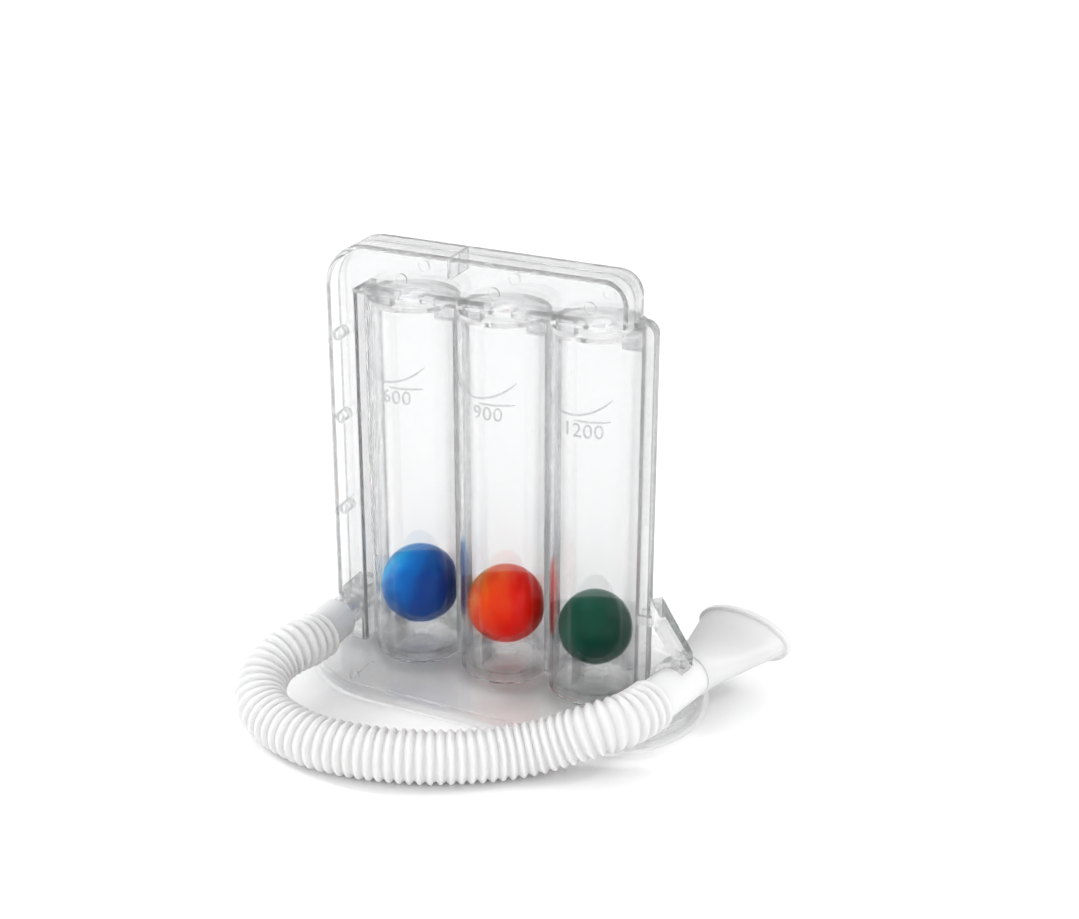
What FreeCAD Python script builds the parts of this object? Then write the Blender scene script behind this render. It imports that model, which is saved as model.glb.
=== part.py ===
import FreeCAD, Part
import math
import os

import Sketcher

# A three-chamber breathing exerciser: a clear two-shell housing on a flat oval base, one ball in
# each chamber, and a corrugated hose from the duct at the left to a mouthpiece held at the right.
# Frame: origin on the table under the middle chamber, X along the row of chambers, Y to the back,
# Z up. All lengths are in millimetres.

os.makedirs("parts", exist_ok=True)
doc = FreeCAD.newDocument("BreathingExerciser")
sheet = doc.addObject("Spreadsheet::Sheet", "Sizes")
Vector = FreeCAD.Vector

SIZES = (
    # Balls and chambers
    ("ball_low_dia", 27.4), ("ball_mid_dia", 26.8), ("ball_high_dia", 25.2),
    ("chamber_pitch", 33.0), ("bore_dia", 28.2), ("chamber_wall", 1.4),
    ("chamber_top", 134.4), ("top_plate", 2.0),
    ("outlet_dia", 9.0), ("stop_drop", 5.0), ("stop_reach", 6.0), ("stop_width", 3.6), ("ball_gap", 0.3),
    # Base
    ("base_length", 144.0), ("base_width", 74.0), ("deck_top", 4.7), ("deck_thick", 2.0),
    ("skirt_wall", 1.8), ("rim_height", 0.9), ("rim_width", 1.6),
    ("deck_rib_place", 41.0), ("deck_rib_thick", 1.6), ("deck_rib_height", 0.8), ("deck_rib_end", 21.0),
    ("post_dia", 3.4), ("post_height", 2.8),
    ("spigot_height", 2.9), ("spigot_wall", 1.8), ("spigot_gap", 0.15), ("inlet_dia", 16.0),
    ("notch_width", 12.0), ("notch_height", 1.4),
    # Housing
    ("web_thick", 5.0), ("web_top", 137.0), ("flange_width", 3.7), ("flange_round", 4.0),
    ("duct_width", 11.8), ("duct_depth", 16.0), ("duct_wall", 1.7), ("duct_gap", 2.0),
    ("manifold_height", 16.6), ("manifold_reach", 12.0), ("manifold_step", 0.8),
    ("duct_round", 16.0), ("manifold_round", 8.0), ("edge_round", 1.6),
    ("baffle_thick", 1.2), ("baffle_drop", 6.7), ("mark_dia", 4.0), ("mark_height", 0.5), ("mark_place", 7.2),
    ("peg_dia", 3.0), ("peg_length", 1.6), ("peg_gap", 0.1),
    ("peg_low", 51.9), ("peg_mid", 86.3), ("peg_high", 116.5),
    # Ball seats
    ("seat_thick", 2.2), ("seat_gap", 0.15), ("seat_rib_count", 3), ("seat_rib_thick", 1.4),
    ("seat_rib_height", 13.4), ("seat_rib_rise", 8.0), ("seat_rib_reach", 6.0), ("seat_turn", -97.0),
    ("orifice_low", 7.0), ("orifice_mid", 9.0), ("orifice_high", 11.0),
    # Port elbow
    ("port_height", 17.4), ("port_neck", 7.8), ("port_gap", 0.1), ("port_bore", 6.4),
    ("elbow_top", 23.3), ("spout_floor", 2.0), ("spout_dia", 11.4), ("spout_bore", 8.6),
    ("spout_length", 20.0), ("spout_exposed", 10.0),
    # Hose and cuffs
    ("hose_dia", 17.2), ("cuff_dia", 14.4), ("cuff_gap", 0.1), ("port_cuff_length", 11.5),
    ("end_cuff_back", 12.0), ("end_cuff_front", 9.0), ("port_lead", 6.2), ("clip_lead", 10.8),
    ("cuff_x", 66.4), ("cuff_y", -13.6), ("cuff_z", 18.5), ("cuff_yaw", 13.6), ("cuff_tilt", 1.0),
    ("table_gap", 0.05),
    # Mouthpiece
    ("stem_dia", 10.8), ("stem_gap", 0.3), ("stem_insert", 14.0), ("stem_bore", 8.4), ("shoulder_dia", 15.0),
    ("shoulder_length", 3.0), ("throat_place", 12.0), ("throat_width", 21.1), ("throat_height", 13.0),
    ("mouth_length", 35.0), ("lip_width", 34.1), ("lip_height", 15.7), ("mouth_wall", 1.5),
    ("bead_length", 2.2), ("bead_proud", 0.7),
    # Side bracket
    ("hook_height", 3.2), ("hook_cheek", 1.3), ("hook_reach", 3.0), ("hook_gap", 0.05),
    ("bracket_top", 41.5), ("bracket_low", 32.5), ("strut_thick", 4.4), ("strut_depth", 4.4),
    ("block_top", 31.9), ("block_length", 4.4), ("block_offset", 2.1), ("block_sink", 0.8),
    ("clip_wall", 1.6), ("clip_gap", 0.2), ("clip_length", 6.0), ("clip_shift", 1.5),
    ("clip_right", 30.0), ("clip_left", 152.0),
)
for row, (alias, value) in enumerate(SIZES, start=1):
    sheet.set(f"A{row}", alias)
    sheet.set(f"B{row}", str(value))
    sheet.setAlias(f"B{row}", alias)
doc.recompute()


class Size:
    """A length, an angle or a ratio, with the sheet formula that gives it."""

    def __init__(self, value, text):
        self.value = value
        self.text = text

    def __add__(self, other):
        other = size_of(other)
        return Size(self.value + other.value, f"({self.text} + {other.text})")

    def __sub__(self, other):
        other = size_of(other)
        return Size(self.value - other.value, f"({self.text} - {other.text})")

    def __mul__(self, other):
        other = size_of(other)
        return Size(self.value * other.value, f"({self.text} * {other.text})")

    def __truediv__(self, other):
        other = size_of(other)
        return Size(self.value / other.value, f"({self.text} / {other.text})")

    def __neg__(self):
        return Size(-self.value, f"(0 - {self.text})")


def size_of(item):
    """Turns a plain number into a Size."""
    if isinstance(item, Size):
        return item
    return Size(float(item), repr(float(item)))


def cosine(angle):
    return Size(math.cos(math.radians(angle.value)), f"cos({angle.text} * 1deg)")


def root(number):
    return Size(math.sqrt(number.value), f"sqrt({number.text})")


def sine(angle):
    return Size(math.sin(math.radians(angle.value)), f"sin({angle.text} * 1deg)")


class Dimensions:
    """The driving dimensions, each by its name on the sheet."""

    def __init__(self):
        for name, _ in SIZES:
            setattr(self, name, Size(float(sheet.get(name)), f"Sizes.{name}"))


d = Dimensions()
ZERO = size_of(0)
NEAR = 1e-6

# Places that several pieces share
bore_radius = d.bore_dia / 2
chamber_radius = bore_radius + d.chamber_wall
chamber_places = (-d.chamber_pitch, ZERO, d.chamber_pitch)
bore_top = d.chamber_top - d.top_plate
duct_right = -(d.chamber_pitch + chamber_radius + d.duct_gap)
duct_left = duct_right - d.duct_width
duct_middle = duct_right - d.duct_width / 2
duct_face = d.duct_depth / 2
manifold_top = d.chamber_top + d.manifold_height
manifold_right = d.chamber_pitch + d.manifold_reach
flange_right = d.chamber_pitch + chamber_radius + d.flange_width
spigot_radius = bore_radius - d.spigot_gap
seat_bottom = d.deck_top + d.spigot_height
seat_top = seat_bottom + d.seat_thick
seat_radius = bore_radius - d.seat_gap
rib_top = seat_top + d.seat_rib_height


# Sketch helpers

def body_sketch(body, name, role, lift=ZERO):
    """A sketch on one of the body's origin planes, moved along the plane's normal."""
    sketch = body.newObject("Sketcher::SketchObject", name)
    plane = [item for item in body.Origin.OriginFeatures if item.Role == role][0]
    sketch.AttachmentSupport = (plane, [""])
    sketch.MapMode = "FlatFace"
    sketch.setExpression("AttachmentOffset.Base.z", lift.text)
    return sketch


def bind(sketch, constraint, size):
    """Adds a constraint whose value follows the sheet."""
    index = sketch.addConstraint(constraint)
    sketch.setExpression(f"Constraints[{index}]", size.text)


def pin(sketch, geometry, vertex, x, y):
    """Fixes one point of a sketch at x, y."""
    bind(sketch, Sketcher.Constraint("DistanceX", geometry, vertex, x.value), x)
    bind(sketch, Sketcher.Constraint("DistanceY", geometry, vertex, y.value), y)


def circle(sketch, x, y, radius):
    centre = Vector(x.value, y.value, 0)
    index = sketch.addGeometry(Part.Circle(centre, Vector(0, 0, 1), radius.value))
    bind(sketch, Sketcher.Constraint("Radius", index, radius.value), radius)
    pin(sketch, index, 3, x, y)


def polygon(sketch, corners):
    """A closed outline of straight lines through corners (x, y)."""
    count = len(corners)
    first = sketch.GeometryCount
    for index, (x, y) in enumerate(corners):
        next_x, next_y = corners[(index + 1) % count]
        sketch.addGeometry(Part.LineSegment(Vector(x.value, y.value, 0), Vector(next_x.value, next_y.value, 0)))
    for index, (x, y) in enumerate(corners):
        sketch.addConstraint(Sketcher.Constraint("Coincident", first + index, 2, first + (index + 1) % count, 1))
        pin(sketch, first + index, 1, x, y)


def rectangle(sketch, left, right, low, high):
    polygon(sketch, ((left, low), (right, low), (right, high), (left, high)))


def racetrack(sketch, half_straight, radius):
    """Two half circles joined by straight sides, centred on the origin."""
    first = sketch.GeometryCount
    axis = Vector(0, 0, 1)
    right = Part.Circle(Vector(half_straight.value, 0, 0), axis, radius.value)
    left = Part.Circle(Vector(-half_straight.value, 0, 0), axis, radius.value)
    sketch.addGeometry(Part.ArcOfCircle(right, -math.pi / 2, math.pi / 2))
    sketch.addGeometry(Part.ArcOfCircle(left, math.pi / 2, 3 * math.pi / 2))
    top = radius.value
    span = half_straight.value
    sketch.addGeometry(Part.LineSegment(Vector(span, top, 0), Vector(-span, top, 0)))
    sketch.addGeometry(Part.LineSegment(Vector(-span, -top, 0), Vector(span, -top, 0)))
    for line, start_arc, end_arc in ((2, 0, 1), (3, 1, 0)):
        sketch.addConstraint(Sketcher.Constraint("Tangent", first + line, 1, first + start_arc, 2))
        sketch.addConstraint(Sketcher.Constraint("Tangent", first + line, 2, first + end_arc, 1))
    pin(sketch, first, 3, half_straight, ZERO)
    pin(sketch, first + 1, 3, -half_straight, ZERO)
    bind(sketch, Sketcher.Constraint("Radius", first, radius.value), radius)


def rounded_outline(sketch, corners):
    """A closed outline of level and upright lines through corners (x, y, radius or None)."""
    first = sketch.GeometryCount
    count = len(corners)

    def towards(start, end, radius):
        run = math.hypot(end[0] - start[0], end[1] - start[1])
        share = radius / run
        return Vector(start[0] + (end[0] - start[0]) * share, start[1] + (end[1] - start[1]) * share, 0)

    def place(index):
        x, y, _ = corners[index % count]
        return x.value, y.value

    def trim(index):
        radius = corners[index % count][2]
        return radius.value if radius else 0.0

    for index in range(count):
        start = towards(place(index), place(index + 1), trim(index))
        end = towards(place(index + 1), place(index), trim(index + 1))
        sketch.addGeometry(Part.LineSegment(start, end))
    for index in range(count):
        x, y, _ = corners[index]
        next_x, _, _ = corners[(index + 1) % count]
        upright = abs(next_x.value - x.value) < NEAR
        line = first + index
        if upright:
            sketch.addConstraint(Sketcher.Constraint("Vertical", line))
            bind(sketch, Sketcher.Constraint("DistanceX", line, 1, x.value), x)
        else:
            sketch.addConstraint(Sketcher.Constraint("Horizontal", line))
            bind(sketch, Sketcher.Constraint("DistanceY", line, 1, y.value), y)
    for index in range(count):
        before = first + (index - 1) % count
        after = first + index
        radius = corners[index][2]
        if not radius:
            sketch.addConstraint(Sketcher.Constraint("Coincident", before, 2, after, 1))
            continue
        here = place(index)
        start = towards(here, place(index - 1), radius.value)
        end = towards(here, place(index + 1), radius.value)
        centre = start + end - Vector(here[0], here[1], 0)
        toward_corner = Vector(here[0], here[1], 0) - centre
        middle = centre + toward_corner.normalize() * radius.value
        arc = sketch.addGeometry(Part.Arc(start, middle, end))
        turn = (start - centre).cross(end - centre).z
        first_point, last_point = (1, 2) if turn > 0 else (2, 1)
        sketch.addConstraint(Sketcher.Constraint("Tangent", before, 2, arc, first_point))
        sketch.addConstraint(Sketcher.Constraint("Tangent", arc, last_point, after, 1))
        bind(sketch, Sketcher.Constraint("Radius", arc, radius.value), radius)


def ellipse(sketch, half_width, half_height):
    """An ellipse on the origin, its long axis along the sketch's x."""
    shape = Part.Ellipse(Vector(0, 0, 0), half_width.value, half_height.value)
    index = sketch.addGeometry(shape)
    sketch.exposeInternalGeometry(index)
    sketch.addConstraint(Sketcher.Constraint("Coincident", index, 3, -1, 1))
    sketch.addConstraint(Sketcher.Constraint("Horizontal", index + 1))
    width = half_width * 2
    height = half_height * 2
    bind(sketch, Sketcher.Constraint("Distance", index + 1, 1, index + 1, 2, width.value), width)
    bind(sketch, Sketcher.Constraint("Distance", index + 2, 1, index + 2, 2, height.value), height)


# Feature helpers

def volume_changes(body, feature, grows):
    """Makes the feature the body's tip, and stops if it left the body's volume as it was."""
    before = body.Tip.Shape.Volume if body.Tip and not body.Tip.Shape.isNull() else 0.0
    body.Tip = feature
    doc.recompute()
    change = feature.Shape.Volume - before
    if grows and change <= 0 or not grows and change >= 0:
        raise RuntimeError(f"{body.Label}: {feature.Label} changed the volume by {change:.3f}")
    return feature


def extrude(body, kind, sketch, length, reverse=False, both_ways=False):
    feature = body.newObject(f"PartDesign::{kind}", f"{sketch.Label}_{kind}")
    feature.Profile = sketch
    feature.setExpression("Length", length.text)
    feature.Reversed = reverse
    if both_ways:
        feature.SideType = "Symmetric"
    return feature


def pad(body, sketch, length, reverse=False, both_ways=False):
    before = body.Tip
    feature = extrude(body, "Pad", sketch, length, reverse, both_ways)
    body.Tip = before
    return volume_changes(body, feature, True)


def pocket(body, sketch, length, reverse=False, both_ways=False):
    before = body.Tip
    feature = extrude(body, "Pocket", sketch, length, reverse, both_ways)
    body.Tip = before
    return volume_changes(body, feature, False)


def fillet(body, radius, picked, name):
    """Rounds the edges of the tip for which picked(edge) is true."""
    base = body.Tip
    names = [f"Edge{index}" for index, edge in enumerate(base.Shape.Edges, start=1) if picked(edge)]
    if not names:
        raise RuntimeError(f"{body.Label}: {name} found no edge")
    feature = body.newObject("PartDesign::Fillet", name)
    feature.Base = (base, names)
    feature.setExpression("Radius", radius.text)
    body.Tip = feature
    doc.recompute()
    return feature


def middle_of(edge):
    return edge.valueAt((edge.FirstParameter + edge.LastParameter) / 2)


def new_body(name):
    body = doc.addObject("PartDesign::Body", name)
    body.Label = name
    return body


def place_at(body, x=ZERO, y=ZERO, z=ZERO):
    for axis, size in (("x", x), ("y", y), ("z", z)):
        body.setExpression(f"Placement.Base.{axis}", size.text)


# Base: an oval tray turned over, with a raised rim, a spigot ring and an air inlet under each
# chamber, and a plug that closes the foot of the duct behind the port elbow.

def make_base():
    body = new_body("base_plate")
    radius = d.base_width / 2
    straight = (d.base_length - d.base_width) / 2

    outline = body_sketch(body, "base_outline", "XY_Plane")
    racetrack(outline, straight, radius)
    pad(body, outline, d.deck_top)

    hollow = body_sketch(body, "base_hollow", "XY_Plane")
    racetrack(hollow, straight, radius - d.skirt_wall)
    pocket(body, hollow, d.deck_top - d.deck_thick, reverse=True)

    rim = body_sketch(body, "base_rim", "XY_Plane", d.deck_top)
    racetrack(rim, straight, radius)
    racetrack(rim, straight, radius - d.rim_width)
    pad(body, rim, d.rim_height)
    fillet(body, d.rim_height / 2, on_rim, "rim_round")

    spigots = body_sketch(body, "spigot_rings", "XY_Plane", d.deck_top)
    for place in chamber_places:
        circle(spigots, place, ZERO, spigot_radius)
        circle(spigots, place, ZERO, spigot_radius - d.spigot_wall)
    pad(body, spigots, d.spigot_height)

    ribs = body_sketch(body, "deck_ribs", "XY_Plane", d.deck_top)
    half_rib = d.deck_rib_thick / 2
    for middle in (-d.deck_rib_place, d.deck_rib_place):
        front = -(radius - d.rim_width - d.rim_width / 2)
        rectangle(ribs, middle - half_rib, middle + half_rib, front, -d.deck_rib_end)
    pad(body, ribs, d.deck_rib_height)

    post = body_sketch(body, "deck_post", "XY_Plane", d.deck_top)
    circle(post, -d.deck_rib_place, -(radius - d.rim_width - d.post_dia / 2), d.post_dia / 2)
    pad(body, post, d.post_height)

    inlets = body_sketch(body, "air_inlets", "XY_Plane", d.deck_top)
    for place in chamber_places:
        circle(inlets, place, ZERO, d.inlet_dia / 2)
    pocket(body, inlets, d.deck_thick)

    notches = body_sketch(body, "air_notches", "XY_Plane")
    half_notch = d.notch_width / 2
    for place in chamber_places:
        rectangle(notches, place - half_notch, place + half_notch, radius - d.skirt_wall * 2, radius + d.rim_width)
    pocket(body, notches, d.notch_height, reverse=True)
    return body


def on_rim(edge):
    """The edges on top of the rim."""
    top = d.deck_top.value + d.rim_height.value
    return abs(edge.BoundBox.ZMin - top) < NEAR and abs(edge.BoundBox.ZMax - top) < NEAR


# Housing: two clear shells that meet at the middle plane. Each is built as the whole moulding and
# cut at that plane. Three round chambers stand in a row, joined by a web. A square duct rises at the
# left, turns over the chambers and feeds each through an outlet in its top.

def make_shell(name, front):
    body = new_body(name)
    web = body_sketch(body, f"{name}_web", "XZ_Plane")
    rounded_outline(web, (
        (duct_middle, d.deck_top, None),
        (flange_right, d.deck_top, None),
        (flange_right, d.web_top, d.flange_round),
        (duct_middle, d.web_top, None),
    ))
    pad(body, web, d.web_thick, both_ways=True)

    duct = body_sketch(body, f"{name}_duct", "XZ_Plane")
    rounded_outline(duct, duct_outline(ZERO))
    pad(body, duct, d.duct_depth, both_ways=True)
    fillet(body, d.edge_round, on_duct_face, f"{name}_duct_round")

    columns = body_sketch(body, f"{name}_columns", "XY_Plane", d.deck_top)
    for place in chamber_places:
        circle(columns, place, ZERO, chamber_radius)
    pad(body, columns, d.chamber_top - d.deck_top)

    bores = body_sketch(body, f"{name}_bores", "XY_Plane", d.deck_top)
    for place in chamber_places:
        circle(bores, place, ZERO, bore_radius)
    pocket(body, bores, bore_top - d.deck_top, reverse=True)

    channel = body_sketch(body, f"{name}_channel", "XZ_Plane")
    rounded_outline(channel, duct_outline(d.duct_wall))
    pocket(body, channel, d.duct_depth - d.duct_wall * 2, both_ways=True)

    outlets = body_sketch(body, f"{name}_outlets", "XY_Plane", bore_top)
    for place in chamber_places:
        circle(outlets, place, ZERO, d.outlet_dia / 2)
    pocket(body, outlets, d.top_plate + d.manifold_step, reverse=True)

    add_stops(body, name)
    add_baffle(body, name)
    add_port_slot(body, name, front)
    cut_at_parting_plane(body, name, front)
    add_marks(body, name, front)
    add_pegs(body, name, front)
    return body


def duct_outline(inset):
    """The duct seen from the front: up at the left, across the top. The inset gives its channel."""
    floor = d.chamber_top + (d.manifold_step if inset is not ZERO else ZERO)
    return (
        (duct_left + inset, d.deck_top, None),
        (duct_right - inset, d.deck_top, None),
        (duct_right - inset, floor, None),
        (manifold_right - inset, floor, None),
        (manifold_right - inset, manifold_top - inset, d.manifold_round - inset),
        (duct_left + inset, manifold_top - inset, d.duct_round - inset),
    )


def on_duct_face(edge):
    """The outer edges of the duct's front and back faces."""
    box = edge.BoundBox
    flat = abs(abs(box.YMin) - duct_face.value) < NEAR and box.YLength < NEAR
    middle = middle_of(edge)
    foot = abs(middle.z - d.deck_top.value) < NEAR
    under = abs(middle.z - d.chamber_top.value) < NEAR
    return flat and not foot and not under


def add_stops(body, name):
    """Two blocks under each chamber's top, which keep a raised ball off the outlet."""
    stops = body_sketch(body, f"{name}_stops", "XY_Plane", bore_top - d.stop_drop)
    half = d.stop_width / 2
    inner = bore_radius - d.stop_reach
    outer = bore_radius + d.chamber_wall / 2
    for place in chamber_places:
        rectangle(stops, place - outer, place - inner, -half, half)
        rectangle(stops, place + inner, place + outer, -half, half)
    pad(body, stops, d.stop_drop)


def add_baffle(body, name):
    """A rib across the top of the manifold between the first two chambers."""
    baffle = body_sketch(body, f"{name}_baffle", "YZ_Plane", -(d.chamber_pitch / 2))
    half = duct_face - d.duct_wall / 2
    top = manifold_top - d.duct_wall / 2
    rectangle(baffle, -half, half, top - d.baffle_drop, top)
    pad(body, baffle, d.baffle_thick, both_ways=True)


def add_port_slot(body, name, front):
    """The notch in the front wall of the duct that the port's neck slides into from below."""
    if not front:
        return
    slot = body_sketch(body, f"{name}_port_slot", "XZ_Plane", duct_face - d.duct_wall * 2)
    half = d.port_neck / 2 + d.port_gap
    rectangle(slot, duct_middle - half, duct_middle + half, d.deck_top, d.port_height)
    pocket(body, slot, d.duct_wall * 3, reverse=True)
    arch = body_sketch(body, f"{name}_port_arch", "XZ_Plane", duct_face - d.duct_wall * 2)
    circle(arch, duct_middle, d.port_height, half)
    pocket(body, arch, d.duct_wall * 3, reverse=True)


def cut_at_parting_plane(body, name, front):
    cut = body_sketch(body, f"{name}_parting", "XZ_Plane")
    margin = d.flange_width
    rectangle(cut, duct_left - margin, flange_right + margin, -margin, manifold_top + margin)
    pocket(body, cut, chamber_radius + margin, reverse=not front)


def add_marks(body, name, front):
    """A small round boss over each chamber on the face of the manifold."""
    marks = body_sketch(body, f"{name}_marks", "XZ_Plane", duct_face if front else -duct_face)
    for place in chamber_places:
        circle(marks, place, d.chamber_top + d.mark_place, d.mark_dia / 2)
    pad(body, marks, d.mark_height, reverse=not front)


def add_pegs(body, name, front):
    """Locating pegs of the front shell along the duct's left edge, and their sockets behind."""
    heights = (d.peg_low, d.peg_mid, d.peg_high)
    place = duct_left + d.duct_wall / 2
    bosses = body_sketch(body, f"{name}_peg_bosses", "XZ_Plane")
    for height in heights:
        circle(bosses, place, height, d.peg_dia / 2 + d.duct_wall / 2)
    depth = d.peg_length + d.duct_wall / 2
    pad(body, bosses, depth, reverse=not front)
    pegs = body_sketch(body, f"{name}_pegs", "XZ_Plane")
    radius = d.peg_dia / 2
    if not front:
        radius = radius + d.peg_gap
    for height in heights:
        circle(pegs, place, height, radius)
    if front:
        pad(body, pegs, d.peg_length, reverse=True)
    else:
        pocket(body, pegs, d.peg_length + d.peg_gap)


# Ball seats: one disc in the foot of each chamber, with the orifice that sets its flow and three
# triangular ribs that carry the ball.

def make_seat(name, place, orifice):
    body = new_body(name)
    disc = body_sketch(body, f"{name}_disc", "XY_Plane", seat_bottom)
    circle(disc, ZERO, ZERO, seat_radius)
    circle(disc, ZERO, ZERO, orifice / 2)
    pad(body, disc, d.seat_thick)

    rib = body_sketch(body, f"{name}_rib", "XZ_Plane")
    inner = seat_radius - d.seat_rib_reach
    outer = seat_radius - d.seat_gap
    polygon(rib, (
        (inner, seat_top),
        (outer, seat_top),
        (outer, rib_top - d.seat_gap * d.seat_rib_rise / d.seat_rib_reach),
        (inner, rib_top - d.seat_rib_rise),
    ))
    pad(body, rib, d.seat_rib_thick, both_ways=True)

    pattern = body.newObject("PartDesign::PolarPattern", f"{name}_ribs")
    pattern.Originals = [body.Tip]
    pattern.Axis = ([item for item in body.Origin.OriginFeatures if item.Role == "Z_Axis"][0], [""])
    pattern.Angle = 360
    pattern.setExpression("Occurrences", d.seat_rib_count.text)
    volume_changes(body, pattern, True)

    place_at(body, x=place)
    body.Placement.Rotation = FreeCAD.Rotation(Vector(0, 0, 1), d.seat_turn.value)
    body.setExpression("Placement.Rotation.Angle", f"{d.seat_turn.text} * 1deg")
    return body


def make_ball(name, place, diameter):
    ball = doc.addObject("Part::Sphere", name)
    ball.Label = name
    radius = diameter / 2
    ball.setExpression("Radius", radius.text)
    place_at(ball, x=place, z=ball_rest(radius))
    return ball


def ball_rest(radius):
    """The height of a ball's centre where it touches the sloping ribs of its seat."""
    steepness = d.seat_rib_rise / d.seat_rib_reach
    foot_of_slope = rib_top - seat_radius * steepness
    return foot_of_slope + (radius + d.ball_gap) * root(steepness * steepness + 1)


# Port elbow: a block in the foot of the duct with an upright bore, a neck through the duct's wall
# and a round spout that the hose cuff slides over.

def make_elbow():
    body = new_body("port_elbow")
    wall_gap = d.duct_wall + d.port_gap
    block = body_sketch(body, "elbow_block", "XY_Plane", d.deck_top)
    inner_face = duct_face - wall_gap
    rectangle(block, duct_left + wall_gap, duct_right - wall_gap, -inner_face, inner_face)
    pad(body, block, d.elbow_top - d.deck_top)

    neck_lift = inner_face - d.duct_wall
    neck_length = d.duct_wall * 2 + d.port_gap * 2
    half = d.port_neck / 2
    neck = body_sketch(body, "elbow_neck", "XZ_Plane", neck_lift)
    rectangle(neck, duct_middle - half, duct_middle + half, d.deck_top, d.port_height)
    pad(body, neck, neck_length)
    arch = body_sketch(body, "elbow_arch", "XZ_Plane", neck_lift)
    circle(arch, duct_middle, d.port_height, half)
    pad(body, arch, neck_length)

    spout = body_sketch(body, "elbow_spout", "XZ_Plane", duct_face + d.port_gap)
    circle(spout, duct_middle, d.port_height, d.spout_dia / 2)
    pad(body, spout, d.spout_length)

    mouth = body_sketch(body, "elbow_mouth", "XZ_Plane", duct_face + d.port_gap + d.spout_floor)
    circle(mouth, duct_middle, d.port_height, d.spout_bore / 2)
    pocket(body, mouth, d.spout_length, reverse=True)

    passage = body_sketch(body, "elbow_passage", "XZ_Plane")
    circle(passage, duct_middle, d.port_height, d.port_bore / 2)
    pocket(body, passage, duct_face + d.spout_floor * 2, reverse=True)

    upright = body_sketch(body, "elbow_upright", "XY_Plane", d.port_height)
    circle(upright, duct_middle, ZERO, d.port_bore / 2)
    pocket(body, upright, d.elbow_top - d.port_height, reverse=True)
    return body


# Hose and its two smooth cuffs

cuff_axis = Vector(
    math.sin(math.radians(d.cuff_yaw.value)) * math.cos(math.radians(d.cuff_tilt.value)),
    math.cos(math.radians(d.cuff_yaw.value)) * math.cos(math.radians(d.cuff_tilt.value)),
    math.sin(math.radians(d.cuff_tilt.value)))
cuff_middle = Vector(d.cuff_x.value, d.cuff_y.value, d.cuff_z.value)


def set_on_cuff_axis(body):
    """Stands a body that was drawn along its own Z on the line of the held cuff."""
    turn = FreeCAD.Rotation(-d.cuff_yaw.value, 0, d.cuff_tilt.value - 90)
    body.Placement = FreeCAD.Placement(cuff_middle, turn)
    for axis, size in (("x", d.cuff_x), ("y", d.cuff_y), ("z", d.cuff_z)):
        body.setExpression(f"Placement.Base.{axis}", size.text)


def make_port_cuff():
    body = new_body("port_cuff")
    start = duct_face + d.spout_exposed
    ring = body_sketch(body, "port_cuff_ring", "XZ_Plane", start)
    circle(ring, duct_middle, d.port_height, d.cuff_dia / 2)
    circle(ring, duct_middle, d.port_height, d.spout_dia / 2 + d.cuff_gap)
    pad(body, ring, d.port_cuff_length)
    return body


def make_end_cuff():
    body = new_body("mouthpiece_cuff")
    ring = body_sketch(body, "end_cuff_ring", "XY_Plane", -d.end_cuff_back)
    circle(ring, ZERO, ZERO, d.cuff_dia / 2)
    circle(ring, ZERO, ZERO, d.stem_dia / 2 + d.stem_gap)
    pad(body, ring, d.end_cuff_back + d.end_cuff_front)
    set_on_cuff_axis(body)
    return body


def hose_route():
    """The hose's centre line, from the port cuff round the front to the mouthpiece cuff. The points
    between have their height above the line of a hose that lies on the table."""
    start = Vector(duct_middle.value, -(duct_face + d.spout_exposed + d.port_cuff_length).value,
                   d.port_height.value)
    end = cuff_middle - cuff_axis * d.end_cuff_back.value
    lying = (d.hose_dia / 2 + d.table_gap).value
    middle = (
        (-58.4, -42.8, 9.9),
        (-62.1, -53.1, 8.1),
        (-60.2, -63.2, 3.9),
        (-52.8, -70.9, 0.6),
        (-34.8, -76.8, 0.0),
        (-17.3, -76.2, 0.0),
        (1.5, -71.5, 0.0),
        (17.3, -63.8, 0.0),
        (30.1, -54.6, 0.0),
        (40.9, -48.8, 3.0),
        (53.2, -43.8, 8.8),
    )
    first_bend = start - Vector(0, d.port_lead.value, 0)
    last_bend = end - cuff_axis * d.clip_lead.value
    bends = [Vector(x, y, lying + lift) for x, y, lift in middle]
    return [start, first_bend] + bends + [last_bend, end]


ARC_SHARE = 0.45


def rounded_wire(points):
    """Straight runs joined by tangent arcs, each as large as its two runs allow."""
    edges = []
    last = points[0]
    radii = []
    for before, corner, after in zip(points, points[1:], points[2:]):
        way_in = (corner - before).normalize()
        way_out = (after - corner).normalize()
        turn = way_in.getAngle(way_out)
        trim = ARC_SHARE * min(before.distanceToPoint(corner), corner.distanceToPoint(after))
        radius = trim / math.tan(turn / 2)
        start = corner - way_in * trim
        end = corner + way_out * trim
        inward = (way_out - way_in).normalize()
        middle = corner + inward * (radius / math.cos(turn / 2) - radius)
        edges.append(Part.LineSegment(last, start).toShape())
        edges.append(Part.Arc(start, middle, end).toShape())
        radii.append(radius)
        last = end
    edges.append(Part.LineSegment(last, points[-1]).toShape())
    print("hose arc radii:", " ".join(f"{radius:.1f}" for radius in radii))
    return Part.Wire(edges)


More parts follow.
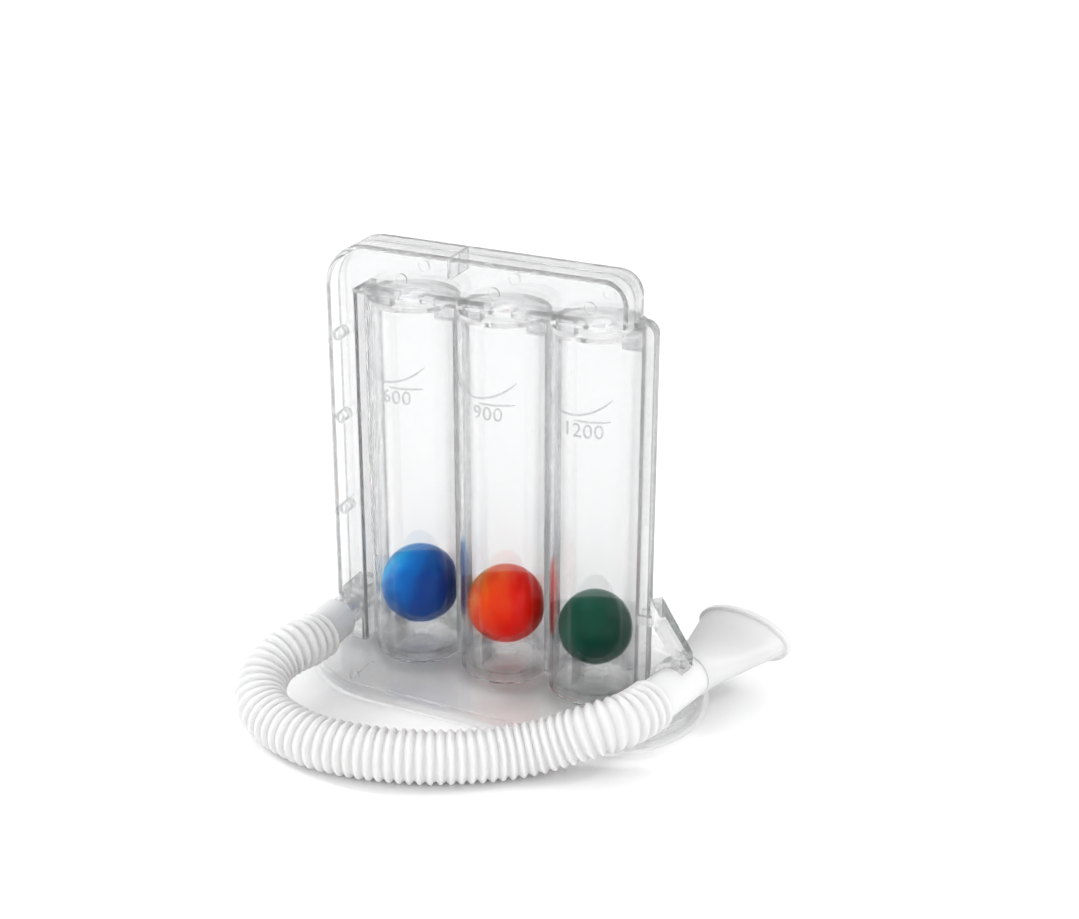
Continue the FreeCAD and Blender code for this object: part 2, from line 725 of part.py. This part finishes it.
def make_hose():
    path = rounded_wire(hose_route())
    start_edge = path.Edges[0]
    radius = d.hose_dia.value / 2
    section = Part.Wire(Part.makeCircle(radius, start_edge.valueAt(start_edge.FirstParameter),
                                        start_edge.tangentAt(start_edge.FirstParameter)))
    shape = path.makePipeShell([section], True, False)
    expected = math.pi * radius ** 2 * path.Length
    print(f"hose length {path.Length:.1f}, volume {shape.Volume:.0f}, section times length {expected:.0f}")
    hose = doc.addObject("Part::Feature", "hose_tube")
    hose.Label = "hose_tube"
    hose.Shape = shape
    hose.Placement = FreeCAD.Placement()
    return hose


# Mouthpiece: a round stem that plugs into the cuff and widens into an oval lip. Drawn along Z.

def mouth_section(body, name, lift, half_width, half_height):
    section = body_sketch(body, name, "XY_Plane", lift)
    if abs(half_width.value - half_height.value) < NEAR:
        circle(section, ZERO, ZERO, half_width)
    else:
        ellipse(section, half_width, half_height)
    return section


def loft(body, kind, name, sections):
    before = body.Tip
    feature = body.newObject(f"PartDesign::{kind}", name)
    feature.Profile = sections[0]
    feature.Sections = sections[1:]
    body.Tip = before
    return volume_changes(body, feature, kind.startswith("Additive"))


def make_mouthpiece():
    body = new_body("mouthpiece")
    base = d.end_cuff_front
    stem = body_sketch(body, "mouth_stem", "XY_Plane", base - d.stem_insert)
    circle(stem, ZERO, ZERO, d.stem_dia / 2)
    pad(body, stem, d.stem_insert)

    shoulder = body_sketch(body, "mouth_shoulder", "XY_Plane", base)
    circle(shoulder, ZERO, ZERO, d.shoulder_dia / 2)
    pad(body, shoulder, d.shoulder_length)

    flare_start = base + d.shoulder_length
    throat = base + d.throat_place
    lip = base + d.mouth_length
    half = d.shoulder_dia / 2
    outer = (
        mouth_section(body, "flare_root", flare_start, half, half),
        mouth_section(body, "flare_throat", throat, d.throat_width / 2, d.throat_height / 2),
        mouth_section(body, "flare_lip", lip, d.lip_width / 2, d.lip_height / 2),
    )
    loft(body, "AdditiveLoft", "mouth_flare", outer)

    bead = mouth_section(body, "lip_bead", lip - d.bead_length, d.lip_width / 2 + d.bead_proud,
                         d.lip_height / 2 + d.bead_proud)
    pad(body, bead, d.bead_length)

    bore = d.stem_bore / 2
    inner = (
        mouth_section(body, "bore_root", flare_start, bore, bore),
        mouth_section(body, "bore_throat", throat, d.throat_width / 2 - d.mouth_wall,
                      d.throat_height / 2 - d.mouth_wall),
        mouth_section(body, "bore_lip", lip, d.lip_width / 2 - d.mouth_wall, d.lip_height / 2 - d.mouth_wall),
    )
    loft(body, "SubtractiveLoft", "mouth_bore", inner)

    stem_bore = body_sketch(body, "stem_bore", "XY_Plane", base - d.stem_insert)
    circle(stem_bore, ZERO, ZERO, bore)
    pocket(body, stem_bore, d.stem_insert + d.shoulder_length, reverse=True)
    set_on_cuff_axis(body)
    return body


# Side bracket: a hook over the housing's right flange, a sloping strut and an open clip that snaps
# round the mouthpiece cuff.

def make_bracket():
    body = new_body("side_bracket")
    half_slot = d.web_thick / 2 + d.hook_gap
    half_hook = half_slot + d.hook_cheek
    back = flange_right - d.hook_reach
    face = flange_right + d.hook_gap
    front = face + d.strut_thick / 2
    hook = body_sketch(body, "hook_profile", "XY_Plane", d.bracket_low)
    polygon(hook, (
        (back, -half_hook), (front, -half_hook), (front, half_hook), (back, half_hook),
        (back, half_slot), (face, half_slot), (face, -half_slot), (back, -half_slot),
    ))
    pad(body, hook, d.hook_height)

    clip_inner = d.cuff_dia / 2 + d.clip_gap
    clip_outer = clip_inner + d.clip_wall
    across = Vector(cosine(d.cuff_yaw).value, -sine(d.cuff_yaw).value, 0)
    clip_middle = cuff_middle + cuff_axis * d.clip_shift.value
    block_place = clip_middle + across * d.block_offset.value
    run = Vector(block_place.x - front.value, block_place.y, 0)
    heading = math.degrees(math.atan2(run.y, run.x))

    strut = turned_sketch(body, "strut_profile", FreeCAD.Placement(
        Vector(front.value, 0, 0), FreeCAD.Rotation(Vector(0, 1, 0), heading)))
    length = size_of(run.Length)
    half_block = d.block_length / 2
    block_low = d.cuff_z + clip_inner - d.block_sink
    polygon(strut, (
        (ZERO, d.bracket_low), (d.hook_cheek, d.bracket_low),
        (length - half_block, d.block_top - d.strut_depth), (length - half_block, block_low),
        (length + half_block, block_low), (length + half_block, d.block_top),
        (ZERO, d.bracket_top),
    ))
    pad(body, strut, d.strut_thick, both_ways=True)

    across_cuff = FreeCAD.Placement(
        Vector(clip_middle.x, clip_middle.z, -clip_middle.y),
        FreeCAD.Rotation(Vector(0, 1, 0), -d.cuff_yaw.value).multiply(
            FreeCAD.Rotation(Vector(1, 0, 0), d.cuff_tilt.value)))
    ring = turned_sketch(body, "clip_ring", across_cuff)
    circle(ring, ZERO, ZERO, clip_outer)
    pad(body, ring, d.clip_length, both_ways=True)
    bore = turned_sketch(body, "clip_bore", across_cuff)
    circle(bore, ZERO, ZERO, clip_inner)
    pocket(body, bore, d.clip_length * 3, both_ways=True)
    opening = turned_sketch(body, "clip_opening", across_cuff)
    reach = clip_outer * 2
    right = (reach * sine(d.clip_right), reach * cosine(d.clip_right))
    left = (-(reach * sine(d.clip_left)), reach * cosine(d.clip_left))
    polygon(opening, ((ZERO, ZERO), left, (left[0], -reach), (reach, -reach), right))
    pocket(body, opening, d.clip_length * 3, both_ways=True)
    return body


def turned_sketch(body, name, offset):
    """A sketch on the body's XZ plane, moved and turned from it by an offset."""
    sketch = body.newObject("Sketcher::SketchObject", name)
    plane = [item for item in body.Origin.OriginFeatures if item.Role == "XZ_Plane"][0]
    sketch.AttachmentSupport = (plane, [""])
    sketch.MapMode = "FlatFace"
    sketch.AttachmentOffset = offset
    return sketch


chamber_data = (
    ("low", chamber_places[0], d.ball_low_dia, d.orifice_low),
    ("mid", chamber_places[1], d.ball_mid_dia, d.orifice_mid),
    ("high", chamber_places[2], d.ball_high_dia, d.orifice_high),
)
pieces = [make_base(), make_shell("front_shell", True), make_shell("rear_shell", False)]
for label, place, diameter, orifice in chamber_data:
    pieces.append(make_seat(f"seat_{label}", place, orifice))
    pieces.append(make_ball(f"ball_{label}", place, diameter))
pieces.append(make_elbow())
pieces.append(make_port_cuff())
pieces.append(make_end_cuff())
pieces.append(make_hose())
pieces.append(make_mouthpiece())
pieces.append(make_bracket())
doc.recompute()

for item in doc.Objects:
    if "Invalid" in item.State or "Error" in item.State:
        raise RuntimeError(f"{item.Label} failed: {item.State}")
for piece in pieces:
    if piece.Shape.isNull() or not piece.Shape.isValid():
        raise RuntimeError(f"{piece.Label} has no valid shape")
for piece in pieces:
    piece.Shape.exportStep(f"parts/{piece.Label}.step")
    print(piece.Label, len(piece.Shape.Solids), round(piece.Shape.Volume, 1), piece.Shape.optimalBoundingBox())
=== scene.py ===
import math

import bpy
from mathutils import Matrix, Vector


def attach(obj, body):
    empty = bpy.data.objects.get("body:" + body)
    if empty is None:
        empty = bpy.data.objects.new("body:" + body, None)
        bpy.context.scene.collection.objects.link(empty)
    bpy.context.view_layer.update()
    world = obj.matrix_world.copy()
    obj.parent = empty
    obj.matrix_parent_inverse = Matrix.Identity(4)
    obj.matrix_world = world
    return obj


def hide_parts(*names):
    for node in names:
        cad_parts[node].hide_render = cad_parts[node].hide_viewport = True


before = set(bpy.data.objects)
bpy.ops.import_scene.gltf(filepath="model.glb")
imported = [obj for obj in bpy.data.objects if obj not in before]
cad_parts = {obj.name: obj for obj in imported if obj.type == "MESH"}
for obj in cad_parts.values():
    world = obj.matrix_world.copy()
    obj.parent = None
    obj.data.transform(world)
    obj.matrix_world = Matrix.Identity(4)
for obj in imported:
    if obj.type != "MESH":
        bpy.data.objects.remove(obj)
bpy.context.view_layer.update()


# Camera, solved from the photo's oval base, chambers and balls

CAMERA_PLACE = (0.2376, -0.5012, 0.33227)
CAMERA_AZIMUTH = math.radians(24.735)
CAMERA_PITCH = math.radians(21.019)
CAMERA_SHIFT = (0.0144, -0.1)
CLIP_RANGE = (0.01, 100.0)
SENSOR_WIDTH = 36.0
FOCAL_LENGTH = 61.22
VIEW_GAMMA = 0.75

camera_data = bpy.data.cameras.new("camera")
camera = bpy.data.objects.new("camera", camera_data)
bpy.context.collection.objects.link(camera)
camera.location = CAMERA_PLACE
look = Vector((
    -math.sin(CAMERA_AZIMUTH) * math.cos(CAMERA_PITCH),
    math.cos(CAMERA_AZIMUTH) * math.cos(CAMERA_PITCH),
    -math.sin(CAMERA_PITCH)))
camera.rotation_mode = "QUATERNION"
camera.rotation_quaternion = look.to_track_quat("-Z", "Y")
camera_data.sensor_width = SENSOR_WIDTH
camera_data.lens = FOCAL_LENGTH
camera_data.shift_x, camera_data.shift_y = CAMERA_SHIFT
camera_data.clip_start, camera_data.clip_end = CLIP_RANGE
bpy.context.scene.camera = camera
bpy.context.scene.view_settings.view_transform = "Standard"
bpy.context.scene.view_settings.gamma = VIEW_GAMMA


# Materials

COOL_CAST = (0.005, 0.003, 0.0)  # what clear plastic lacks of red, green and blue
PAINTED_LIGHT_SIDE = (-0.75, -0.35, 0.55)  # painted light: each ball is coloured lighter towards this side, the upper left front, and darker away from it
SWIRL_SHARE = 0.7
# how strongly the painted light shows beside the marbling
PAINTED_LIGHT_SHARE = 0.6
EVEN_SCATTER = (1.0, 1.0, 1.0)
CLOUD_SHADE = 0.97  # the darker clouds, as a share of the white


def new_material(name):
    material = bpy.data.materials.new(name)
    material.use_nodes = True
    tree = material.node_tree
    shader = tree.nodes["Principled BSDF"]
    return material, tree, shader


def set_inputs(node, **values):
    for name, value in values.items():
        node.inputs[name.replace("_", " ")].default_value = value


def grey(value):
    """An opaque grey."""
    return (value, value, value, 1)


def noise(tree, scale, detail=2.0, distortion=0.0, stretch=(1, 1, 1)):
    """Object-space noise, optionally stretched."""
    place = tree.nodes.new("ShaderNodeTexCoord")
    mapping = tree.nodes.new("ShaderNodeMapping")
    set_inputs(mapping, Scale=stretch)
    texture = tree.nodes.new("ShaderNodeTexNoise")
    set_inputs(texture, Scale=scale, Detail=detail, Distortion=distortion)
    tree.links.new(place.outputs["Object"], mapping.inputs["Vector"])
    tree.links.new(mapping.outputs["Vector"], texture.inputs["Vector"])
    return texture


def calculate(tree, operation, *values):
    """A math node on numbers and sockets; returns its result's socket."""
    node = tree.nodes.new("ShaderNodeMath")
    node.operation = operation
    for socket, value in zip(node.inputs, values):
        if isinstance(value, (int, float)):
            socket.default_value = value
        else:
            tree.links.new(value, socket)
    return node.outputs["Value"]


def color_by(tree, shader, source, stops):
    """Colour the shader by a value, through stops of (value, colour)."""
    node = tree.nodes.new("ShaderNodeValToRGB")
    elements = node.color_ramp.elements
    while len(elements) < len(stops):
        elements.new(0.5)
    for element, (place, color) in zip(elements, stops):
        element.position = place
        element.color = color
    tree.links.new(source, node.inputs["Fac"])
    tree.links.new(node.outputs["Color"], shader.inputs["Base Color"])


def clear_plastic(name, tint, alpha, index):
    """Clear moulded plastic with faint waves in its faces."""
    material, tree, shader = new_material(name)
    color = tuple(tint - cast for cast in COOL_CAST) + (1,)
    set_inputs(shader, Base_Color=color, Roughness=0.005, IOR=index,
               Transmission_Weight=1.0, Alpha=alpha)
    waves = noise(tree, scale=60.0, detail=1.0)
    bump = tree.nodes.new("ShaderNodeBump")
    set_inputs(bump, Strength=0.01, Distance=0.0005)
    tree.links.new(waves.outputs["Fac"], bump.inputs["Height"])
    tree.links.new(bump.outputs["Normal"], shader.inputs["Normal"])
    return material


def ball_plastic(name, dark, middle, light):
    """Glossy plastic, marbled, with painted light: lighter on one side, darker on the other."""
    material, tree, shader = new_material(name)
    swirl = noise(tree, scale=45.0, detail=5.0, distortion=2.5, stretch=(1.0, 1.0, 0.35))
    place = tree.nodes.new("ShaderNodeTexCoord")
    # painted light: a gradient across each ball, lighter towards the upper left, added to the real
    # swirl
    across = tree.nodes.new("ShaderNodeVectorMath")
    across.operation = "DOT_PRODUCT"
    across.inputs[1].default_value = PAINTED_LIGHT_SIDE
    tree.links.new(place.outputs["Generated"], across.inputs[0])
    shade = calculate(tree, "ADD",
                      calculate(tree, "MULTIPLY", swirl.outputs["Fac"], SWIRL_SHARE),
                      calculate(tree, "MULTIPLY", across.outputs["Value"], PAINTED_LIGHT_SHARE))
    color_by(tree, shader, shade, ((0.15, dark), (0.40, middle), (0.70, light)))
    set_inputs(shader, Roughness=0.04, IOR=1.45, Specular_IOR_Level=0.25,
               Subsurface_Weight=0.15, Subsurface_Radius=EVEN_SCATTER, Subsurface_Scale=0.003,
               Sheen_Weight=0.15, Sheen_Roughness=0.35, Sheen_Tint=light)
    return material


def satin_plastic(name, white, transmission, roughness):
    """White, slightly cloudy plastic that lets some light through."""
    material, tree, shader = new_material(name)
    clouds = noise(tree, scale=40.0, detail=2.0)
    color_by(tree, shader, clouds.outputs["Fac"],
             ((0.3, grey(white * CLOUD_SHADE)), (0.7, grey(white))))
    set_inputs(shader, Roughness=roughness, IOR=1.46, Transmission_Weight=transmission,
               Subsurface_Weight=0.5, Subsurface_Radius=EVEN_SCATTER, Subsurface_Scale=0.004)
    return material


def mark_plastic(name):
    """Raised clear plastic with a frosted face."""
    material, tree, shader = new_material(name)
    grain = noise(tree, scale=900.0, detail=2.0)
    color_by(tree, shader, grain.outputs["Fac"],
             ((0.3, (0.42, 0.43, 0.44, 1)), (0.7, (0.60, 0.61, 0.62, 1))))
    set_inputs(shader, Roughness=0.45, IOR=1.49, Alpha=0.3)
    return material


FRONT_SHELL = clear_plastic("clear_polystyrene_front", tint=0.97, alpha=0.85, index=1.32)
# The rear shell is the same clear polystyrene as the front one; its darker tint is painted shade
# that greys the chambers seen through it.
SHADED_REAR_SHELL = clear_plastic("clear_polystyrene_rear_painted_shade", tint=0.79, alpha=0.85, index=1.32)
CLEAR = clear_plastic("clear_small_parts", tint=0.97, alpha=0.65, index=1.4)
SEAT = clear_plastic("clear_seats", tint=1.0, alpha=0.25, index=1.35)
DECK = clear_plastic("clear_base", tint=1.0, alpha=0.25, index=1.6)
BLUE = ball_plastic(
    "blue_ball", dark=(0.0, 0.10, 0.44, 1), middle=(0.0, 0.28, 0.76, 1), light=(0.0, 0.65, 1.0, 1))
ORANGE = ball_plastic(
    "orange_ball", dark=(1.0, 0.01, 0.0, 1), middle=(1.0, 0.12, 0.0, 1), light=(1.0, 0.58, 0.04, 1))
GREEN = ball_plastic(
    "green_ball", dark=(0.0, 0.08, 0.05, 1), middle=(0.0, 0.14, 0.085, 1),
    light=(0.0, 0.32, 0.25, 1))
HOSE = satin_plastic("hose_white", white=0.95, transmission=0.15, roughness=0.35)
MOUTH = satin_plastic("mouthpiece_white", white=0.77, transmission=0.1, roughness=0.40)
MARK = mark_plastic("frosted_mark")

NODE_MATERIALS = {
    "front_shell": FRONT_SHELL,
    "rear_shell": SHADED_REAR_SHELL,
    "port_elbow": CLEAR,
    "side_bracket": CLEAR,
    "seat_low": SEAT,
    "seat_mid": SEAT,
    "seat_high": SEAT,
    "base_plate": DECK,
    "ball_low": BLUE,
    "ball_mid": ORANGE,
    "ball_high": GREEN,
    "port_cuff": HOSE,
    "mouthpiece_cuff": HOSE,
    "mouthpiece": MOUTH,
}
for node, material in NODE_MATERIALS.items():
    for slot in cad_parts[node].material_slots:
        slot.material = material


# Helpers for meshes

def link_mesh(name, vertices, faces, material):
    """A new object in the scene with one material."""
    mesh = bpy.data.meshes.new(name)
    mesh.from_pydata([tuple(vertex) for vertex in vertices], [], faces)
    mesh.materials.append(material)
    piece = bpy.data.objects.new(name, mesh)
    bpy.context.collection.objects.link(piece)
    return piece


def curve_mesh(name, curve):
    """The mesh that a curve or a text makes; the caller removes it."""
    piece = bpy.data.objects.new(name, curve)
    bpy.context.collection.objects.link(piece)
    bpy.context.view_layer.update()
    depsgraph = bpy.context.evaluated_depsgraph_get()
    mesh = bpy.data.meshes.new_from_object(piece.evaluated_get(depsgraph))
    bpy.data.objects.remove(piece)
    return mesh


# Hose: a corrugated tube along the route that the solid model follows

ROUTE = (
    (-0.0564, -0.0295, 0.0174),
    (-0.0564, -0.0357, 0.0174),
    (-0.0584, -0.0428, 0.01855),
    (-0.0621, -0.0531, 0.01675),
    (-0.0602, -0.0632, 0.01255),
    (-0.0528, -0.0709, 0.00925),
    (-0.0348, -0.0768, 0.00865),
    (-0.0173, -0.0762, 0.00865),
    (0.0015, -0.0715, 0.00865),
    (0.0173, -0.0638, 0.00865),
    (0.0301, -0.0546, 0.00865),
    (0.0409, -0.0488, 0.01165),
    (0.0532, -0.0438, 0.01745),
    (0.06104, -0.035757, 0.018102),
    (0.063579, -0.025262, 0.018291),
)
ROUTE_RESOLUTION = 32
HOSE_RADIUS = 0.0086
VALLEY_RADIUS = 0.0074
HOSE_WALL = 0.0009
HOSE_SIDES = 48
RIB_PITCH = 0.0031
RIB_SAMPLES = 8
RIB_ROUNDNESS = 0.7  # under 1, crests are wider than valleys


def route_points(step):
    """Points along the hose's spline, about one step apart, and the spline's length."""
    curve = bpy.data.curves.new("hose_line", "CURVE")
    curve.dimensions = "3D"
    curve.resolution_u = ROUTE_RESOLUTION
    spline = curve.splines.new("NURBS")
    spline.points.add(len(ROUTE) - 1)
    for point, place in zip(spline.points, ROUTE):
        point.co = (*place, 1.0)
    spline.order_u = 3
    spline.use_endpoint_u = True
    mesh = curve_mesh("hose_line", curve)
    raw = [vertex.co.copy() for vertex in mesh.vertices]
    bpy.data.meshes.remove(mesh)
    along = [0.0]
    for before, after in zip(raw, raw[1:]):
        along.append(along[-1] + (after - before).length)
    total = along[-1]
    count = max(2, round(total / step))
    points = []
    segment = 0
    for index in range(count + 1):
        target = total * index / count
        while segment < len(raw) - 2 and along[segment + 1] < target:
            segment += 1
        share = (target - along[segment]) / (along[segment + 1] - along[segment])
        points.append(raw[segment].lerp(raw[segment + 1], share))
    return points, total


def rib_profile(phase):
    """The hose's outer radius at a phase of 0 to 1 along one rib."""
    wave = 0.5 + 0.5 * math.cos(2 * math.pi * phase)
    return VALLEY_RADIUS + (HOSE_RADIUS - VALLEY_RADIUS) * wave ** RIB_ROUNDNESS


def route_frames(points):
    """Each point with two directions across the hose that don't twist along it."""
    tangents = []
    for index in range(len(points)):
        before = points[max(index - 1, 0)]
        after = points[min(index + 1, len(points) - 1)]
        tangents.append((after - before).normalized())
    across = Vector((0, 0, 1)).cross(tangents[0]).normalized()
    frames = []
    for point, tangent in zip(points, tangents):
        across = (across - tangent * across.dot(tangent)).normalized()
        frames.append((point, across.copy(), tangent.cross(across).normalized()))
    return frames


def make_hose():
    points, total = route_points(RIB_PITCH / RIB_SAMPLES)
    rows = route_frames(points)
    ribs = round(total / RIB_PITCH)
    last = len(rows) - 1
    inside = len(rows) * HOSE_SIDES  # the first vertex of the inner wall
    vertices = []
    for inset in (0.0, HOSE_WALL):
        for index, (point, side, up) in enumerate(rows):
            radius = rib_profile((index / last * ribs + 0.5) % 1.0) - inset
            for step in range(HOSE_SIDES):
                angle = 2 * math.pi * step / HOSE_SIDES
                vertices.append(point + (side * math.cos(angle) + up * math.sin(angle)) * radius)
    faces = []
    for index in range(last):
        for step in range(HOSE_SIDES):
            a = index * HOSE_SIDES + step
            b = index * HOSE_SIDES + (step + 1) % HOSE_SIDES
            c = b + HOSE_SIDES
            d = a + HOSE_SIDES
            faces.append((a, b, c, d))
            faces.append((a + inside, d + inside, c + inside, b + inside))
    end = last * HOSE_SIDES
    for step in range(HOSE_SIDES):
        after = (step + 1) % HOSE_SIDES
        faces.append((step, step + inside, after + inside, after))
        faces.append((end + step, end + after, end + after + inside, end + step + inside))
    tube = link_mesh("corrugated_hose", vertices, faces, HOSE)
    for polygon in tube.data.polygons:
        polygon.use_smooth = True
    return tube, points, total


hose, hose_points, hose_length = make_hose()
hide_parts("hose_tube")
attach(hose, "housing")


# Flow numbers and lines moulded on the front of each chamber; angles are in degrees round the
# chamber from straight ahead

CHAMBERS = (("low", -0.033, "600"), ("mid", 0.0, "900"), ("high", 0.033, "1200"))
CHAMBER_RADIUS = 0.0155
MARK_RISE = 0.0002
MARK_ROOT = -0.0001
LINE_WIDTH = 0.0006
END_TAPER = 0.35
TAPER_STEP = 0.2
ARC_ANGLES = range(-60, 40, 3)
ARC_MIDDLE = -15
ARC_HALF = 51
ARC_HEIGHT = 0.1082
ARC_LIFT = 0.0052
LINE_ANGLES = range(-8, 38, 3)
LINE_HEIGHT = 0.1066
NUMBER_ANGLE = 3.0
NUMBER_HEIGHT = 0.1031
NUMBER_SIZE = 0.0068
DIGIT_SPACING = 1.05
DIGIT_RESOLUTION = 3


def on_chamber(middle, angle, height, rise):
    """A point on a chamber's outer wall."""
    turn = math.radians(angle)
    radius = CHAMBER_RADIUS + rise
    return Vector((middle + radius * math.sin(turn), -radius * math.cos(turn), height))


def add_mark(name, vertices, faces):
    piece = link_mesh(name, vertices, faces, MARK)
    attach(piece, "housing")


def line_mark(name, middle, places):
    """A raised line through places (angle, height) on a chamber's wall, tapered at its ends."""
    vertices = []
    last = len(places) - 1
    for index, (angle, height) in enumerate(places):
        before = places[max(index - 1, 0)]
        after = places[min(index + 1, last)]
        run = Vector((
            math.radians(after[0] - before[0]) * CHAMBER_RADIUS,
            after[1] - before[1])).normalized()
        taper = min(1.0, END_TAPER + index * TAPER_STEP, END_TAPER + (last - index) * TAPER_STEP)
        half = LINE_WIDTH * taper / 2
        for side in (-1, 1):
            shift = math.degrees(-run.y * half * side / CHAMBER_RADIUS)
            for rise in (MARK_ROOT, MARK_RISE * taper):
                vertices.append(
                    on_chamber(middle, angle + shift, height + run.x * half * side, rise))
    faces = []
    for index in range(last):
        a = index * 4
        b = a + 4
        faces += [(a + 1, b + 1, b + 3, a + 3), (a, a + 2, b + 2, b),
                  (a, b, b + 1, a + 1), (a + 2, a + 3, b + 3, b + 2)]
    end = last * 4
    faces += [(0, 1, 3, 2), (end, end + 2, end + 3, end + 1)]
    add_mark(name, vertices, faces)


def number_mark(name, middle, text):
    """Raised digits wrapped round a chamber's wall."""
    curve = bpy.data.curves.new(name, "FONT")
    curve.body = text
    curve.size = NUMBER_SIZE
    curve.extrude = MARK_RISE
    curve.resolution_u = DIGIT_RESOLUTION
    curve.space_character = DIGIT_SPACING
    curve.align_x = "CENTER"
    curve.align_y = "CENTER"
    mesh = curve_mesh(name, curve)
    vertices = []
    for vertex in mesh.vertices:
        turn = NUMBER_ANGLE + math.degrees(vertex.co.x / CHAMBER_RADIUS)
        vertices.append(on_chamber(middle, turn, NUMBER_HEIGHT + vertex.co.y, vertex.co.z))
    faces = [tuple(polygon.vertices) for polygon in mesh.polygons]
    bpy.data.meshes.remove(mesh)
    add_mark(name, vertices, faces)


arc = [(angle, ARC_HEIGHT + ARC_LIFT * ((angle - ARC_MIDDLE) / ARC_HALF) ** 2)
       for angle in ARC_ANGLES]
line = [(angle, LINE_HEIGHT) for angle in LINE_ANGLES]
for label, middle, text in CHAMBERS:
    line_mark(f"mark_arc_{label}", middle, arc)
    line_mark(f"mark_line_{label}", middle, line)
    number_mark(f"mark_number_{label}", middle, text)


# Stage: white floor and soft studio light

FLOOR_REACH = 30
FLOOR_CORNERS = [(-FLOOR_REACH, -FLOOR_REACH, 0), (FLOOR_REACH, -FLOOR_REACH, 0),
                 (FLOOR_REACH, FLOOR_REACH, 0), (-FLOOR_REACH, FLOOR_REACH, 0)]

floor_material, _, floor_shader = new_material("floor_white")
set_inputs(floor_shader, Base_Color=grey(0.93), Roughness=0.7, Specular_IOR_Level=0.15)
floor = link_mesh("floor", FLOOR_CORNERS, [(0, 1, 2, 3)], floor_material)


def add_light(name, place, target, size, power):
    data = bpy.data.lights.new(name, "AREA")
    data.shape = "RECTANGLE"
    data.size, data.size_y = size
    data.energy = power
    light = bpy.data.objects.new(name, data)
    light.location = place
    light.rotation_mode = "QUATERNION"
    light.rotation_quaternion = (Vector(target) - Vector(place)).to_track_quat("-Z", "Y")
    bpy.context.collection.objects.link(light)


add_light("ceiling", place=(0.0, 0.3, 2.0), target=(0, 0, 0), size=(3.0, 3.0), power=3)
add_light("key", place=(-1.1, -0.2, 0.8), target=(0, 0, 0.05), size=(0.16, 0.45), power=5)
add_light("window", place=(0.95, 0.27, 0.87), target=(0, 0, 0.05), size=(0.16, 0.28), power=2.5)
add_light("front", place=(0.5, -1.25, 0.55), target=(0, 0, 0.03), size=(2.4, 1.0), power=6)

world = bpy.data.worlds.new("studio")
bpy.context.scene.world = world
world.use_nodes = True
set_inputs(world.node_tree.nodes["Background"], Color=grey(1), Strength=1.0)
